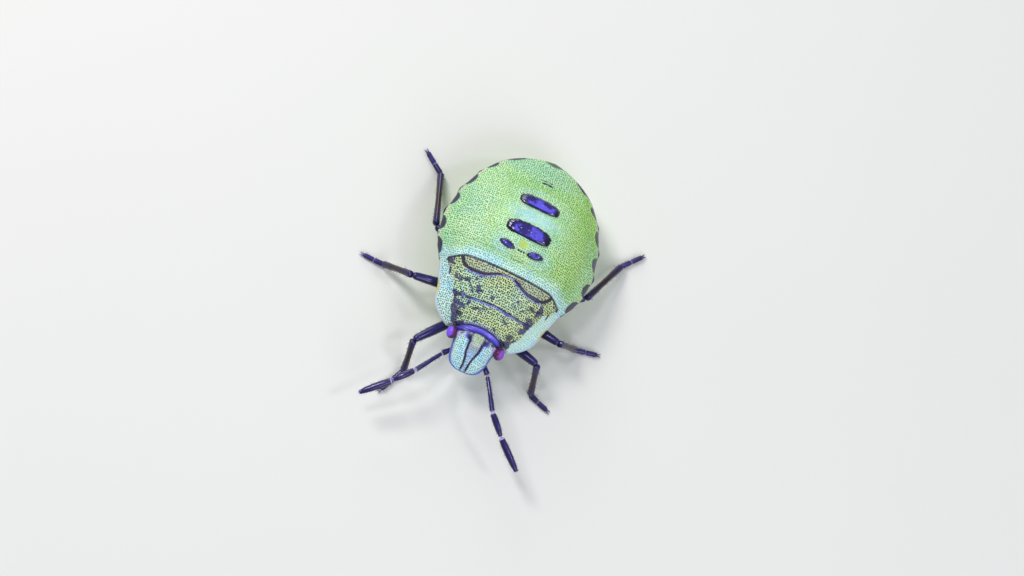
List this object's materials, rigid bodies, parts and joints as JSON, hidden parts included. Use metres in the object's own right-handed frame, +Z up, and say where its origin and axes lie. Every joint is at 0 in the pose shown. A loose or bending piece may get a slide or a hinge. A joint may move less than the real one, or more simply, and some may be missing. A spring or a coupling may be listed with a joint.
{
  "type": "shield bug nymph",
  "caption": "Life-size still model of a green shield bug nymph standing on its legs, with dark gland plates on a round flat abdomen and long feelers.",
  "frame": {"origin": "centre of the outline seen from above, on the floor under the feet", "axes": "+Z up, -Y towards the head, +X towards the insect's left side"},
  "size_m": [0.0082, 0.0092, 0.0025],
  "materials": {
    "pale_shell": "satin pale bluish-green shell",
    "olive_shell": "satin olive-green shell, pitted dark",
    "green_shell": "satin yellow-green shell, pitted dark",
    "dark_shell": "glossy violet-black plates",
    "leg_shell": "glossy violet-black limbs",
    "tarsus_shell": "greyish violet, softly haired",
    "eye": "reddish purple, finely faceted",
    "underside": "pale green, smooth"
  },
  "bodies": {
    "root": {"head": "pale_shell", "neck": "dark_shell", "eye_left": "eye", "eye_right": "eye", "beak": "underside", "pronotum": "olive_shell", "mesonotum": "olive_shell", "metanotum": "olive_shell", "gland_plate_front_left": "dark_shell", "gland_plate_front_right": "dark_shell", "gland_plate_middle": "dark_shell", "gland_plate_rear": "dark_shell", "thorax_underside": "underside", "abdomen_underside": "underside", "abdomen_back_1": "green_shell", "abdomen_back_2": "green_shell", "abdomen_back_3": "green_shell", "abdomen_back_4": "green_shell", "abdomen_back_5": "green_shell", "abdomen_back_6": "green_shell", "abdomen_back_7": "green_shell", "left_front_coxa": "leg_shell", "left_front_femur": "leg_shell", "left_front_tibia": "leg_shell", "left_front_tarsus": "tarsus_shell", "left_mid_coxa": "leg_shell", "left_mid_femur": "leg_shell", "left_mid_tibia": "leg_shell", "left_mid_tarsus": "tarsus_shell", "left_hind_coxa": "leg_shell", "left_hind_femur": "leg_shell", "left_hind_tibia": "leg_shell", "left_hind_tarsus": "tarsus_shell", "antenna_left_1": "leg_shell", "antenna_left_2": "leg_shell", "antenna_left_3": "leg_shell", "antenna_left_4": "leg_shell", "right_front_coxa": "leg_shell", "right_front_femur": "leg_shell", "right_front_tibia": "leg_shell", "right_front_tarsus": "tarsus_shell", "right_mid_coxa": "leg_shell", "right_mid_femur": "leg_shell", "right_mid_tibia": "leg_shell", "right_mid_tarsus": "tarsus_shell", "right_hind_coxa": "leg_shell", "right_hind_femur": "leg_shell", "right_hind_tibia": "leg_shell", "right_hind_tarsus": "tarsus_shell", "antenna_right_1": "leg_shell", "antenna_right_2": "leg_shell", "antenna_right_3": "leg_shell", "antenna_right_4": "leg_shell"}
  },
  "joints": []
}
